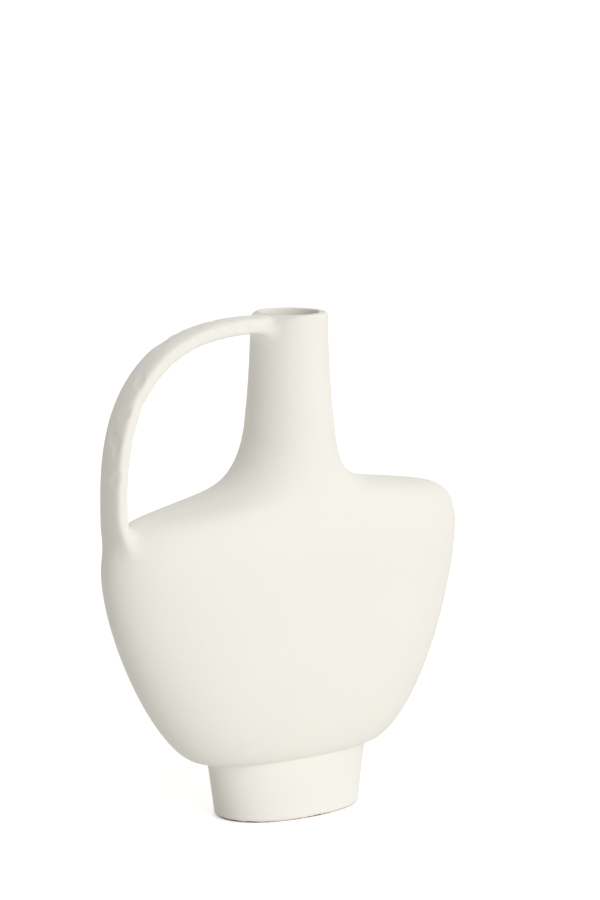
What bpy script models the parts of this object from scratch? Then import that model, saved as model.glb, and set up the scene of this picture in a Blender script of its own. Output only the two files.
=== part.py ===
"""A flat flask vase with one strap handle, as the clay parts that a potter joins.

Metres, +Z up. The origin is the middle of the underside, where the vase stands.
+X runs along the width of the body, away from the handle, and -Y is the front.
"""

import math
from typing import NamedTuple

import bmesh
import bpy
from mathutils import Vector

# Overall
TOTAL_HEIGHT = 0.300
JOINT_GAP = 0.0003  # scored and slipped joints between the clay parts

# Foot: an oval collar, widest in X where it meets the body
FOOT_HEIGHT = 0.0362
FOOT_HALF_WIDTH = 0.0489
FOOT_HALF_DEPTH = 0.0299
FOOT_TOP_HALF_WIDTH = 0.0567
FOOT_TOP_HALF_DEPTH = 0.0259
FOOT_WALL = 0.0070
FOOT_EDGE_RADIUS = 0.0025
SLAB_THICKNESS = 0.0080

# Belly: from the foot to the widest height, with a shallow curve in depth
BODY_WALL = 0.0060
BELLY_HALF_WIDTH = 0.1300
BELLY_HEIGHT = 0.1612
BELLY_HALF_DEPTH = 0.0409
BELLY_DEPTH_HEIGHT = 0.1090
BELLY_DEPTH_POWER = 1.85
BELLY_START_ANGLE = -17.2
BELLY_START_PULL = 0.0300
BELLY_END_PULL = 0.0449
BELLY_OFFSET = -0.0022

# Shoulder: a soft corner and a gently sloping top, higher on the side away from the handle
SHOULDER_HALF_WIDTH = 0.1018
SHOULDER_HEIGHT = 0.1888
SHOULDER_SLOPE = 10.8
SHOULDER_CORNER_RISE = 0.0209
SHOULDER_CORNER_RUN = 0.0147
SHOULDER_LIFT = 0.021  # rise of the shoulder for each metre towards +X
SHOULDER_JOINT_HEIGHT = 0.1500  # two belly slabs end here, and two shoulder slabs start
LEAN_BACK_HEIGHT = 0.1461  # the front and the back start to lean in here
LEAN_BACK_PULL = 0.0428

# Neck: a tube with a flared root, set a little off the middle
NECK_ROOT_HALF_WIDTH = 0.0420
NECK_ROOT_RUN = 0.0493
NECK_ROOT_RISE = 0.0394
NECK_HEIGHT = 0.2323  # the flare ends and the straight neck starts
NECK_RADIUS = 0.0271
NECK_WAIST = 0.0009
NECK_DEPTH_PULL = 0.0704
LIP_RADIUS = 0.0232
LIP_OUTER_EDGE = 0.0022
LIP_INNER_EDGE = 0.0010
NECK_WALL = 0.0056
NECK_OFFSET = 0.0021

# Handle: a strap from just under the lip to the end of the shoulder
HANDLE_TOP_THICKNESS = 0.0102
HANDLE_TOP_WIDTH = 0.0192
HANDLE_FOOT_THICKNESS = 0.0084
HANDLE_FOOT_WIDTH = 0.0208
HANDLE_DROP = 0.0058  # from the lip down to the middle of the strap
HANDLE_TOP_ANGLE = 1.6
HANDLE_TOP_PULL = 0.0507
HANDLE_REACH = 0.1270  # from the middle of the foot to the middle of the strap
HANDLE_REACH_HEIGHT = 0.1988
HANDLE_RISE_PULL = 0.0912
HANDLE_FALL_PULL = 0.0291
HANDLE_FOOT_REACH = 0.1108
HANDLE_FOOT_HEIGHT = 0.1571
HANDLE_FOOT_ANGLE = 53.0
HANDLE_FOOT_PULL = 0.0137
HANDLE_FLARE = 0.0030
HANDLE_FLARE_LENGTH = 0.0150
HANDLE_SPREAD = 0.0095  # how far each edge is smeared out over the end of the shoulder
HANDLE_SPREAD_LENGTH = 0.0380
HANDLE_SPREAD_POWER = 1.3

# How square the sections are: 0 is an ellipse
FOOT_FLATNESS = 0.115
BELLY_FULLNESS = 0.015
BELLY_FLATNESS = 0.135
HANDLE_SQUARENESS = 0.40

# Mesh fineness
RING_POINTS = 64
STRAP_POINTS = 24
BELLY_STEPS = 12
CORNER_STEPS = 7
SHOULDER_STEPS = 6
ROOT_STEPS = 7
NECK_STEPS = 5
STRAP_STEPS = 22
STRAP_FOOT_STEPS = 10
EDGE_STEPS = 4
HALVINGS = 30  # for finding a height or a width along a curve
SHARP_ANGLE = 40.0

# Fired surfaces: colour, roughness, metallic
WHITE_SLIP = ((0.88, 0.87, 0.82, 1.0), 0.62, 0.0)
BARE_CLAY = ((0.60, 0.34, 0.20, 1.0), 0.85, 0.0)


class Section(NamedTuple):
    """One level slice through the vase, an oval with its own fullness and flatness."""

    height: float
    half_width: float
    half_depth: float
    fullness: float = 0.0
    flatness: float = 0.0


def clear_scene():
    for obj in list(bpy.data.objects):
        bpy.data.objects.remove(obj, do_unlink=True)


def smooth_step(value):
    value = min(max(value, 0.0), 1.0)
    return value * value * (3 - 2 * value)


def mix(start, end, share):
    return start + (end - start) * share


def curve_point(knots, share):
    """A point of the Bezier stretch with these four knots, each an X and a Z."""
    rest = 1 - share
    weights = (rest**3, 3 * rest**2 * share, 3 * rest * share**2, share**3)
    x = sum(weight * knot[0] for weight, knot in zip(weights, knots))
    z = sum(weight * knot[1] for weight, knot in zip(weights, knots))
    return Vector((x, 0.0, z))


def curve_points(knots, steps, first=0.0, last=1.0):
    return [curve_point(knots, mix(first, last, step / steps)) for step in range(steps + 1)]


def share_where(knots, axis, value):
    """How far along the stretch its X (axis 0) or its Z (axis 2) passes the value."""
    low, high = 0.0, 1.0
    rising = curve_point(knots, high)[axis] > curve_point(knots, low)[axis]
    for _ in range(HALVINGS):
        middle = (low + high) / 2
        if (curve_point(knots, middle)[axis] < value) == rising:
            low = middle
        else:
            high = middle
    return (low + high) / 2


def neck_taper():
    """How much the radius of the straight neck shrinks for each metre up, where it starts."""
    return (NECK_RADIUS + 4 * NECK_WAIST - LIP_RADIUS) / (TOTAL_HEIGHT - LIP_OUTER_EDGE - NECK_HEIGHT)


def half_depth_at(height):
    """Half the depth of the vase in Y: a rounded belly, then a slow lean in to the neck."""
    if height <= BELLY_DEPTH_HEIGHT:
        share = max(height - FOOT_HEIGHT, 0.0) / (BELLY_DEPTH_HEIGHT - FOOT_HEIGHT)
        rounding = (1 - (1 - share) ** BELLY_DEPTH_POWER) ** (1 / BELLY_DEPTH_POWER)
        return mix(FOOT_TOP_HALF_DEPTH, BELLY_HALF_DEPTH, rounding)
    if height <= LEAN_BACK_HEIGHT:
        return BELLY_HALF_DEPTH
    if height >= NECK_HEIGHT:
        return NECK_RADIUS
    lean = (
        (BELLY_HALF_DEPTH, LEAN_BACK_HEIGHT),
        (BELLY_HALF_DEPTH, LEAN_BACK_HEIGHT + LEAN_BACK_PULL),
        (NECK_RADIUS + NECK_DEPTH_PULL * neck_taper(), NECK_HEIGHT - NECK_DEPTH_PULL),
        (NECK_RADIUS, NECK_HEIGHT),
    )
    return curve_point(lean, share_where(lean, 2, height)).x


def foot_sections():
    """The outside of the foot, from its rounded bottom edge to the joint with the body."""
    rows = []
    for step in range(EDGE_STEPS):
        turn = math.pi / 2 * step / (EDGE_STEPS - 1)
        rows.append((FOOT_EDGE_RADIUS * (1 - math.cos(turn)), FOOT_EDGE_RADIUS * (1 - math.sin(turn))))
    rows += [(FOOT_HEIGHT / 2, 0.0), (FOOT_HEIGHT, 0.0)]
    sections = []
    for height, inset in rows:
        share = height / FOOT_HEIGHT
        half_width = mix(FOOT_HALF_WIDTH, FOOT_TOP_HALF_WIDTH, share) - inset
        half_depth = mix(FOOT_HALF_DEPTH, FOOT_TOP_HALF_DEPTH, share) - inset
        sections.append(Section(height, half_width, half_depth, 0.0, FOOT_FLATNESS))
    return sections


def belly_sections():
    angle = math.radians(BELLY_START_ANGLE)
    knots = (
        (FOOT_TOP_HALF_WIDTH, FOOT_HEIGHT),
        (
            FOOT_TOP_HALF_WIDTH + BELLY_START_PULL * math.cos(angle),
            FOOT_HEIGHT + BELLY_START_PULL * math.sin(angle),
        ),
        (BELLY_HALF_WIDTH, BELLY_HEIGHT - BELLY_END_PULL),
        (BELLY_HALF_WIDTH, BELLY_HEIGHT),
    )
    sections = []
    for step, point in enumerate(curve_points(knots, BELLY_STEPS)):
        share = smooth_step(2 * step / BELLY_STEPS)
        fullness = mix(0.0, BELLY_FULLNESS, share)
        flatness = mix(FOOT_FLATNESS, BELLY_FLATNESS, share)
        sections.append(Section(point.z, point.x, half_depth_at(point.z), fullness, flatness))
    return sections


def corner_sections():
    """The soft outer corner of the shoulder, above the widest section."""
    slope = math.radians(SHOULDER_SLOPE)
    knots = (
        (BELLY_HALF_WIDTH, BELLY_HEIGHT),
        (BELLY_HALF_WIDTH, BELLY_HEIGHT + SHOULDER_CORNER_RISE),
        (
            SHOULDER_HALF_WIDTH + SHOULDER_CORNER_RUN * math.cos(slope),
            SHOULDER_HEIGHT - SHOULDER_CORNER_RUN * math.sin(slope),
        ),
        (SHOULDER_HALF_WIDTH, SHOULDER_HEIGHT),
    )
    sections = []
    for step, point in enumerate(curve_points(knots, CORNER_STEPS)):
        left = 1 - smooth_step(step / CORNER_STEPS)
        half_depth = half_depth_at(point.z)
        sections.append(
            Section(point.z, point.x, half_depth, BELLY_FULLNESS * left, BELLY_FLATNESS * left)
        )
    return sections


def root_sections():
    """The shoulder's top sweeping up into the neck, parted where the neck is joined to it."""
    slope = math.radians(SHOULDER_SLOPE)
    knots = (
        (SHOULDER_HALF_WIDTH, SHOULDER_HEIGHT),
        (
            SHOULDER_HALF_WIDTH - NECK_ROOT_RUN * math.cos(slope),
            SHOULDER_HEIGHT + NECK_ROOT_RUN * math.sin(slope),
        ),
        (NECK_RADIUS + NECK_ROOT_RISE * neck_taper(), NECK_HEIGHT - NECK_ROOT_RISE),
        (NECK_RADIUS, NECK_HEIGHT),
    )
    seat = share_where(knots, 0, NECK_ROOT_HALF_WIDTH)
    shoulder = [Section(p.z, p.x, half_depth_at(p.z)) for p in curve_points(knots, SHOULDER_STEPS, 0.0, seat)]
    root = [Section(p.z, p.x, half_depth_at(p.z)) for p in curve_points(knots, ROOT_STEPS, seat, 1.0)]
    return shoulder, root


def neck_sections():
    """The straight neck, up to where its lip starts to round over."""
    sections = []
    top = TOTAL_HEIGHT - LIP_OUTER_EDGE
    for step in range(NECK_STEPS + 1):
        share = step / NECK_STEPS
        radius = mix(NECK_RADIUS, LIP_RADIUS, share) - NECK_WAIST * 4 * share * (1 - share)
        sections.append(Section(mix(NECK_HEIGHT, top, share), radius, radius))
    return sections


def lip_sections():
    """Over the flat lip, from the outside of the neck to its bore, with both edges rounded."""
    bore = LIP_RADIUS - NECK_WALL
    sections = []
    for step in range(1, EDGE_STEPS + 1):
        turn = math.pi / 2 * step / EDGE_STEPS
        radius = LIP_RADIUS - LIP_OUTER_EDGE * (1 - math.cos(turn))
        height = TOTAL_HEIGHT - LIP_OUTER_EDGE * (1 - math.sin(turn))
        sections.append(Section(height, radius, radius))
    for step in range(EDGE_STEPS):
        turn = math.pi / 2 * step / (EDGE_STEPS - 1)
        radius = bore + LIP_INNER_EDGE * (1 - math.sin(turn))
        height = TOTAL_HEIGHT - LIP_INNER_EDGE * (1 - math.cos(turn))
        sections.append(Section(height, radius, radius))
    return sections


def offset(sections, distance):
    """The same form moved square to its outline in X-Z, inwards for a positive distance."""
    moved = []
    for index, section in enumerate(sections):
        before = sections[max(index - 1, 0)]
        after = sections[min(index + 1, len(sections) - 1)]
        across = after.half_width - before.half_width
        up = after.height - before.height
        length = math.hypot(across, up)
        moved.append(
            section._replace(
                height=section.height + distance * across / length,
                half_width=section.half_width - distance * up / length,
                half_depth=section.half_depth - distance,
            )
        )
    return moved


def ring_points(section):
    """The section as points, with the body's sideways shift and the lift of its shoulder."""
    body_share = smooth_step((section.height - FOOT_HEIGHT) / (BELLY_HEIGHT - FOOT_HEIGHT))
    body_share *= 1 - smooth_step((section.height - SHOULDER_HEIGHT) / (NECK_HEIGHT - SHOULDER_HEIGHT))
    neck_share = smooth_step((section.height - BELLY_HEIGHT) / (NECK_HEIGHT - BELLY_HEIGHT))
    shift = BELLY_OFFSET * body_share + NECK_OFFSET * neck_share
    points = []
    for step in range(RING_POINTS):
        turn = 2 * math.pi * step / RING_POINTS
        x, y = oval(turn, section.half_width, section.half_depth, section.fullness, section.flatness)
        points.append(Vector((x + shift, y, section.height + SHOULDER_LIFT * x * body_share)))
    return points


def oval(turn, half_width, half_depth, fullness, flatness):
    """A point on an ellipse whose ends are made fuller and whose faces are made flatter."""
    cosine, sine = math.cos(turn), math.sin(turn)
    x = half_width * cosine * (1 + fullness * sine * sine)
    y = half_depth * sine * (1 + flatness * cosine * cosine)
    return x, y


def material(name, surface):
    colour, roughness, metallic = surface
    finish = bpy.data.materials.new(name)
    finish.use_nodes = True
    finish.diffuse_color = colour
    shader = finish.node_tree.nodes["Principled BSDF"]
    shader.inputs["Base Color"].default_value = colour
    shader.inputs["Roughness"].default_value = roughness
    shader.inputs["Metallic"].default_value = metallic
    return finish


def skinned(rings, closed):
    """A bmesh skin over the rings. Closed joins the last ring to the first, or both get a cap."""
    mesh = bmesh.new()
    loops = [[mesh.verts.new(point) for point in ring] for ring in rings]
    pairs = list(zip(loops, loops[1:]))
    if closed:
        pairs.append((loops[-1], loops[0]))
    for low, high in pairs:
        for k in range(len(low)):
            mesh.faces.new((low[k - 1], low[k], high[k], high[k - 1]))
    if not closed:
        mesh.faces.new(loops[0])
        mesh.faces.new(loops[-1])
    bmesh.ops.recalc_face_normals(mesh, faces=mesh.faces)
    return mesh


def add_object(name, mesh, surface):
    data = bpy.data.meshes.new(name)
    mesh.to_mesh(data)
    mesh.free()
    data.shade_smooth()
    data.set_sharp_from_angle(angle=math.radians(SHARP_ANGLE))
    data.materials.append(material(name, surface))
    obj = bpy.data.objects.new(name, data)
    bpy.context.scene.collection.objects.link(obj)
    return obj


def add_cutter(name, rings):
    """A hidden solid that trims a neighbour."""
    cutter = add_object(name, skinned(rings, closed=False), BARE_CLAY)
    cutter.hide_render = True
    cutter.display_type = "WIRE"
    return cutter


def add_foot_ring():
    outside = foot_sections()
    top = outside[-1]._replace(height=FOOT_HEIGHT - JOINT_GAP)
    outside = [*outside[:-1], top]
    inside = [narrowed(section, FOOT_WALL) for section in (outside[-1], outside[-2], outside[0])]
    rings = [ring_points(section) for section in outside + inside]
    return add_object("foot_ring", skinned(rings, closed=True), WHITE_SLIP)


def narrowed(section, wall):
    return section._replace(half_width=section.half_width - wall, half_depth=section.half_depth - wall)


def add_base_slab():
    """The floor of the vase, a slab pressed into the foot flush with its underside."""
    rings = []
    for height in (0.0, SLAB_THICKNESS):
        share = height / FOOT_HEIGHT
        half_width = mix(FOOT_HALF_WIDTH, FOOT_TOP_HALF_WIDTH, share)
        half_depth = mix(FOOT_HALF_DEPTH, FOOT_TOP_HALF_DEPTH, share)
        wall = Section(height, half_width, half_depth, 0.0, FOOT_FLATNESS)
        rings.append(ring_points(narrowed(wall, FOOT_WALL + FOOT_EDGE_RADIUS + JOINT_GAP)))
    return add_object("base_slab", skinned(rings, closed=False), BARE_CLAY)


def body_outline():
    shoulder, _ = root_sections()
    return belly_sections()[:-1] + corner_sections()[:-1] + shoulder


def body_rings():
    """Outside up, then inside down, of the whole body before it is parted at the seam."""
    outside = body_outline()
    floor = FOOT_HEIGHT + BODY_WALL
    inside = [section for section in offset(outside, BODY_WALL) if section.height > floor]
    door = narrowed(outside[0], FOOT_WALL)
    chain = [*outside, *reversed(inside), door._replace(height=floor), door]
    return [ring_points(section) for section in chain]


def parted(mesh, place, direction):
    """Cuts the mesh at a level or upright plane, keeps what lies beyond it and closes the cut."""
    bmesh.ops.bisect_plane(
        mesh,
        geom=[*mesh.verts, *mesh.edges, *mesh.faces],
        plane_co=place,
        plane_no=direction,
        clear_inner=True,
    )
    bmesh.ops.holes_fill(mesh, edges=[edge for edge in mesh.edges if edge.is_boundary])


def add_slab(name, side, level):
    """A slab of the body, on one side of the seam in Y and below or above the shoulder's joint."""
    mesh = skinned(body_rings(), closed=True)
    parted(mesh, (0.0, side * JOINT_GAP / 2, 0.0), (0.0, side, 0.0))
    parted(mesh, (0.0, 0.0, SHOULDER_JOINT_HEIGHT + level * JOINT_GAP / 2), (0.0, 0.0, level))
    bmesh.ops.recalc_face_normals(mesh, faces=mesh.faces)
    return add_object(name, mesh, WHITE_SLIP)


def add_neck():
    """The neck with its flared root, seated on the rim of the shoulder, and its flat lip."""
    _, root = root_sections()
    rim = [body_outline()[-1], offset(body_outline(), BODY_WALL)[-1]]
    seat, door = [narrowed(section, JOINT_GAP)._replace(height=section.height + JOINT_GAP) for section in rim]
    outside = [seat, *root[1:-1], *neck_sections()]
    inside = offset(outside[1:-1], NECK_WALL)
    chain = [*outside, *lip_sections(), *reversed(inside), door]
    return add_object("neck", skinned([ring_points(s) for s in chain], closed=True), WHITE_SLIP)


def strap_line():
    """Points and directions along the middle of the handle, from inside the neck to inside the body."""
    top_angle = math.radians(HANDLE_TOP_ANGLE)
    foot_angle = math.radians(HANDLE_FOOT_ANGLE)
    start = (NECK_OFFSET - LIP_RADIUS + NECK_WALL, TOTAL_HEIGHT - HANDLE_DROP)
    outermost = (-HANDLE_REACH, HANDLE_REACH_HEIGHT)
    end = (-HANDLE_FOOT_REACH, HANDLE_FOOT_HEIGHT)
    rise = (
        start,
        (start[0] - HANDLE_TOP_PULL * math.cos(top_angle), start[1] + HANDLE_TOP_PULL * math.sin(top_angle)),
        (outermost[0], outermost[1] + HANDLE_RISE_PULL),
        outermost,
    )
    fall = (
        outermost,
        (outermost[0], outermost[1] - HANDLE_FALL_PULL),
        (end[0] - HANDLE_FOOT_PULL * math.cos(foot_angle), end[1] + HANDLE_FOOT_PULL * math.sin(foot_angle)),
        end,
    )
    points = curve_points(rise, STRAP_STEPS)[:-1] + curve_points(fall, STRAP_FOOT_STEPS)
    directions = []
    for index in range(len(points)):
        before = points[max(index - 1, 0)]
        after = points[min(index + 1, len(points) - 1)]
        directions.append((after - before).normalized())
    return points, directions


def strap_rings():
    """The strap's sections, fuller on the inner side and to both sides where they meet neck and body."""
    points, directions = strap_line()
    travelled = [0.0]
    for before, after in zip(points, points[1:]):
        travelled.append(travelled[-1] + (after - before).length)
    length = travelled[-1]
    foot_seat = math.hypot(HANDLE_REACH - HANDLE_FOOT_REACH, BODY_WALL)
    rings = []
    for point, direction, way in zip(points, directions, travelled):
        share = way / length
        from_neck = way - NECK_WALL
        from_body = length - foot_seat - way
        nearest = min(max(min(from_neck, from_body) / HANDLE_FLARE_LENGTH, 0.0), 1.0)
        flare = HANDLE_FLARE * (1 - nearest) ** 2
        thickness = mix(HANDLE_TOP_THICKNESS, HANDLE_FOOT_THICKNESS, share) + flare
        spread = max(1 - (length - way) / HANDLE_SPREAD_LENGTH, 0.0)
        width = mix(HANDLE_TOP_WIDTH, HANDLE_FOOT_WIDTH, share) + flare
        width += 2 * HANDLE_SPREAD * spread**HANDLE_SPREAD_POWER
        square = HANDLE_SQUARENESS * smooth_step(from_body / HANDLE_FLARE_LENGTH)
        inward = Vector((-direction.z, 0.0, direction.x))
        middle = point + inward * flare / 2
        ring = []
        for step in range(STRAP_POINTS):
            turn = 2 * math.pi * step / STRAP_POINTS
            across, side = oval(turn, thickness / 2, width / 2, square, square)
            ring.append(middle + inward * across + Vector((0.0, side, 0.0)))
        rings.append(ring)
    return rings


def add_handle(cutters):
    handle = add_object("handle", skinned(strap_rings(), closed=False), WHITE_SLIP)
    for cutter in cutters:
        trim = handle.modifiers.new(cutter.name, "BOOLEAN")
        trim.operation = "DIFFERENCE"
        trim.object = cutter
    return handle


def add_joint_cutters():
    """The outsides of body and neck, grown by the joint gap, to which the handle's ends are fitted."""
    _, root = root_sections()
    body = offset(body_outline(), -JOINT_GAP)
    neck = offset(root[:-1] + neck_sections(), -JOINT_GAP)
    above = neck[-1]._replace(height=TOTAL_HEIGHT + LIP_RADIUS)
    body_cutter = add_cutter("body_outline", [ring_points(section) for section in body])
    neck_cutter = add_cutter("neck_outline", [ring_points(section) for section in [*neck, above]])
    return body_cutter, neck_cutter


def main():
    clear_scene()
    add_base_slab()
    add_foot_ring()
    add_slab("front_shell", -1, -1)
    add_slab("back_shell", 1, -1)
    add_slab("front_shoulder", -1, 1)
    add_slab("back_shoulder", 1, 1)
    add_neck()
    add_handle(add_joint_cutters())


main()
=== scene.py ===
# %% [markdown]
# # A flat flask vase in matte white slip
#
# A potter makes this vase from a few clay parts: a slab for the base, an oval collar for the
# foot, four pressed slabs for the flat body, a thrown neck and a pulled strap for the handle.
# The parts are luted together with slip, sponged smooth and dipped in a matte white coat. The
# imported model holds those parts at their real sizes. This script gives each one its fired look.

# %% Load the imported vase
import math
from typing import NamedTuple

import bmesh
import bpy
import numpy as np
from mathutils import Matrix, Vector, noise
from mathutils.bvhtree import BVHTree


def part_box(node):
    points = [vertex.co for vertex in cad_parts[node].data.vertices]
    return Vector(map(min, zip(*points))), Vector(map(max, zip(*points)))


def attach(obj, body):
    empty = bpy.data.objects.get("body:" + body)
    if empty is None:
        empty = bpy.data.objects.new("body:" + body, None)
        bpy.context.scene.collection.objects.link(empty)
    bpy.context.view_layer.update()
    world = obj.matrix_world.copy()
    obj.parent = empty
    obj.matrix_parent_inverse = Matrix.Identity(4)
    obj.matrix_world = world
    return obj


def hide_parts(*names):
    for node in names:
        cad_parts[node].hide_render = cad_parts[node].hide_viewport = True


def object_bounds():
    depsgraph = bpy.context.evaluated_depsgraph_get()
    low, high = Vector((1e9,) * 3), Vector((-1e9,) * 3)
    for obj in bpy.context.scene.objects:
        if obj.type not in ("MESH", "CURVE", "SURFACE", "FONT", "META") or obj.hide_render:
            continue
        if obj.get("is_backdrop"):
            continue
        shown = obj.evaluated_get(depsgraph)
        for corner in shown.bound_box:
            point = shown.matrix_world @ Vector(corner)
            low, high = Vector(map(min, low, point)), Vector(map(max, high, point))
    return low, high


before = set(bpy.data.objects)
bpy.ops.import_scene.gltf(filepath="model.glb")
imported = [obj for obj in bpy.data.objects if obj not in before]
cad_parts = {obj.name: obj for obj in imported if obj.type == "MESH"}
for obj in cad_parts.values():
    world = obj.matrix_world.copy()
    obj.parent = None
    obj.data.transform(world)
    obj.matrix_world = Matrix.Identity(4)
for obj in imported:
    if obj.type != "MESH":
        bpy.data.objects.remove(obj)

cad_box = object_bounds()
print("packed parts:", ", ".join(sorted(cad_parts)))
print("size in mm:", [round((high - low) * 1000, 1) for low, high in zip(*cad_box)])

# %% [markdown]
# ## The sizes of the clay parts
#
# Each size below is a real one in metres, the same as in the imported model, so the dressed vase
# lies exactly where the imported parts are. The heights of the foot and of the lip come straight
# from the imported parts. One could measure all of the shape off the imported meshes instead, but
# those are coarse, and a few curves describe it better.

# %% Sizes of foot, body and neck
JOINT_GAP = 0.0003
TOTAL_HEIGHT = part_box("neck")[1].z
FOOT_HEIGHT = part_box("foot_ring")[1].z + JOINT_GAP
FOOT_HALF_WIDTH = 0.0489
FOOT_HALF_DEPTH = 0.0299
FOOT_TOP_HALF_WIDTH = 0.0567
FOOT_TOP_HALF_DEPTH = 0.0259
FOOT_WALL = 0.0070
FOOT_EDGE_RADIUS = 0.0025
SLAB_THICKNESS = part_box("base_slab")[1].z

BODY_WALL = 0.0060
BELLY_HALF_WIDTH = 0.1300
BELLY_HEIGHT = 0.1612
BELLY_HALF_DEPTH = 0.0409
BELLY_DEPTH_HEIGHT = 0.1090
BELLY_DEPTH_POWER = 1.85
BELLY_START_ANGLE = -17.2
BELLY_START_PULL = 0.0300
BELLY_END_PULL = 0.0449
BELLY_OFFSET = -0.0022

SHOULDER_HALF_WIDTH = 0.1018
SHOULDER_HEIGHT = 0.1888
SHOULDER_SLOPE = 10.8
SHOULDER_CORNER_RISE = 0.0209
SHOULDER_CORNER_RUN = 0.0147
SHOULDER_LIFT = 0.021
SHOULDER_JOINT_HEIGHT = 0.1500
LEAN_BACK_HEIGHT = 0.1461
LEAN_BACK_PULL = 0.0428

NECK_ROOT_HALF_WIDTH = 0.0420
NECK_ROOT_RUN = 0.0493
NECK_ROOT_RISE = 0.0394
NECK_HEIGHT = 0.2323
NECK_RADIUS = 0.0271
NECK_WAIST = 0.0009
NECK_DEPTH_PULL = 0.0704
LIP_RADIUS = 0.0232
LIP_OUTER_EDGE = 0.0022
LIP_INNER_EDGE = 0.0010
NECK_WALL = 0.0056
NECK_OFFSET = 0.0021

FOOT_FLATNESS = 0.115
BELLY_FULLNESS = 0.015
BELLY_FLATNESS = 0.135
print("foot is", round(FOOT_HEIGHT * 1000, 1), "mm high, lip is at", round(TOTAL_HEIGHT * 1000, 1))

# %% [markdown]
# ## The outline as curves
#
# A potter reads a vase as an outline turned round an axis. This one is flat, so each level
# slice is an oval with its own half width and half depth. The outline is a chain of Bezier
# curves, because four knots give a stretch that can be bent by hand, and a slice takes its half
# depth from a second chain, which is the vase seen from its thin side.

# %% Curves
def mix(start, end, share):
    return start + (end - start) * share


def smooth_step(value):
    value = min(max(value, 0.0), 1.0)
    return value * value * (3 - 2 * value)


def curve_weights(share):
    """How much each of a stretch's four knots counts at this share of the way along."""
    rest = 1 - share
    return rest**3, 3 * rest**2 * share, 3 * rest * share**2, share**3


def curve_point(knots, share):
    """A point of the Bezier stretch with these four knots, each an X and a Z."""
    weights = curve_weights(share)
    x = sum(weight * knot[0] for weight, knot in zip(weights, knots))
    z = sum(weight * knot[1] for weight, knot in zip(weights, knots))
    return Vector((x, 0.0, z))


def curve_points(knots, steps, first=0.0, last=1.0):
    return [curve_point(knots, mix(first, last, step / steps)) for step in range(steps + 1)]


def pulled(point, length, degrees):
    """A knot at this length from a point, and at this angle above the X axis."""
    angle = math.radians(degrees)
    return point[0] + length * math.cos(angle), point[1] + length * math.sin(angle)


def share_where(knots, axis, value, rounds=30):
    """How far along the stretch its X (axis 0) or its Z (axis 2) passes the value."""
    low, high = 0.0, 1.0
    rising = curve_point(knots, high)[axis] > curve_point(knots, low)[axis]
    for _ in range(rounds):
        middle = (low + high) / 2
        if (curve_point(knots, middle)[axis] < value) == rising:
            low = middle
        else:
            high = middle
    return (low + high) / 2


# %% The vase seen from its thin side
def neck_taper():
    """How much narrower the neck gets in each metre of height, just above its root."""
    straight = TOTAL_HEIGHT - LIP_OUTER_EDGE - NECK_HEIGHT
    return (NECK_RADIUS + 4 * NECK_WAIST - LIP_RADIUS) / straight


def half_depth_at(height):
    """Half the depth of the vase: a rounded belly, then a slow lean in to the neck."""
    if height <= BELLY_DEPTH_HEIGHT:
        share = max(height - FOOT_HEIGHT, 0.0) / (BELLY_DEPTH_HEIGHT - FOOT_HEIGHT)
        rounding = (1 - (1 - share) ** BELLY_DEPTH_POWER) ** (1 / BELLY_DEPTH_POWER)
        return mix(FOOT_TOP_HALF_DEPTH, BELLY_HALF_DEPTH, rounding)
    if height <= LEAN_BACK_HEIGHT:
        return BELLY_HALF_DEPTH
    if height >= NECK_HEIGHT:
        return NECK_RADIUS
    lean = (
        (BELLY_HALF_DEPTH, LEAN_BACK_HEIGHT),
        (BELLY_HALF_DEPTH, LEAN_BACK_HEIGHT + LEAN_BACK_PULL),
        (NECK_RADIUS + NECK_DEPTH_PULL * neck_taper(), NECK_HEIGHT - NECK_DEPTH_PULL),
        (NECK_RADIUS, NECK_HEIGHT),
    )
    return curve_point(lean, share_where(lean, 2, height)).x


print("half depth at the shoulder in mm:", round(half_depth_at(SHOULDER_HEIGHT) * 1000, 2))

# %% [markdown]
# ## The slices
#
# The slices follow the outline from the bottom edge of the foot up to the lip, over it, and
# down the inside to the foot again. Coarse steps and a subdivision surface could do instead, but
# a matte surface shows every facet in its shading, so the steps are fine from the start. The
# names of the clay parts go along with the slices, so that the finished wall can be parted where
# the potter joined it.

# %% One slice
class Section(NamedTuple):
    """A level slice: its height and half sizes, how full its ends and how flat its faces are."""

    height: float
    half_width: float
    half_depth: float
    fullness: float = 0.0
    flatness: float = 0.0


def blended_section(low, high, share):
    return Section(*(mix(start, end, share) for start, end in zip(low, high)))


# %% Slices of the foot
def foot_sections(edge_steps=8, wall_steps=24):
    sections = []
    rows = []
    for step in range(edge_steps + 1):
        turn = math.pi / 2 * step / edge_steps
        height = FOOT_EDGE_RADIUS * (1 - math.cos(turn))
        rows.append((height, FOOT_EDGE_RADIUS * (1 - math.sin(turn))))
    for step in range(1, wall_steps + 1):
        rows.append((mix(FOOT_EDGE_RADIUS, FOOT_HEIGHT, step / wall_steps), 0.0))
    for height, inset in rows:
        share = height / FOOT_HEIGHT
        half_width = mix(FOOT_HALF_WIDTH, FOOT_TOP_HALF_WIDTH, share) - inset
        half_depth = mix(FOOT_HALF_DEPTH, FOOT_TOP_HALF_DEPTH, share) - inset
        sections.append(Section(height, half_width, half_depth, 0.0, FOOT_FLATNESS))
    return sections


foot_rows = foot_sections()
print("slices in the foot:", len(foot_rows))

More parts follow.
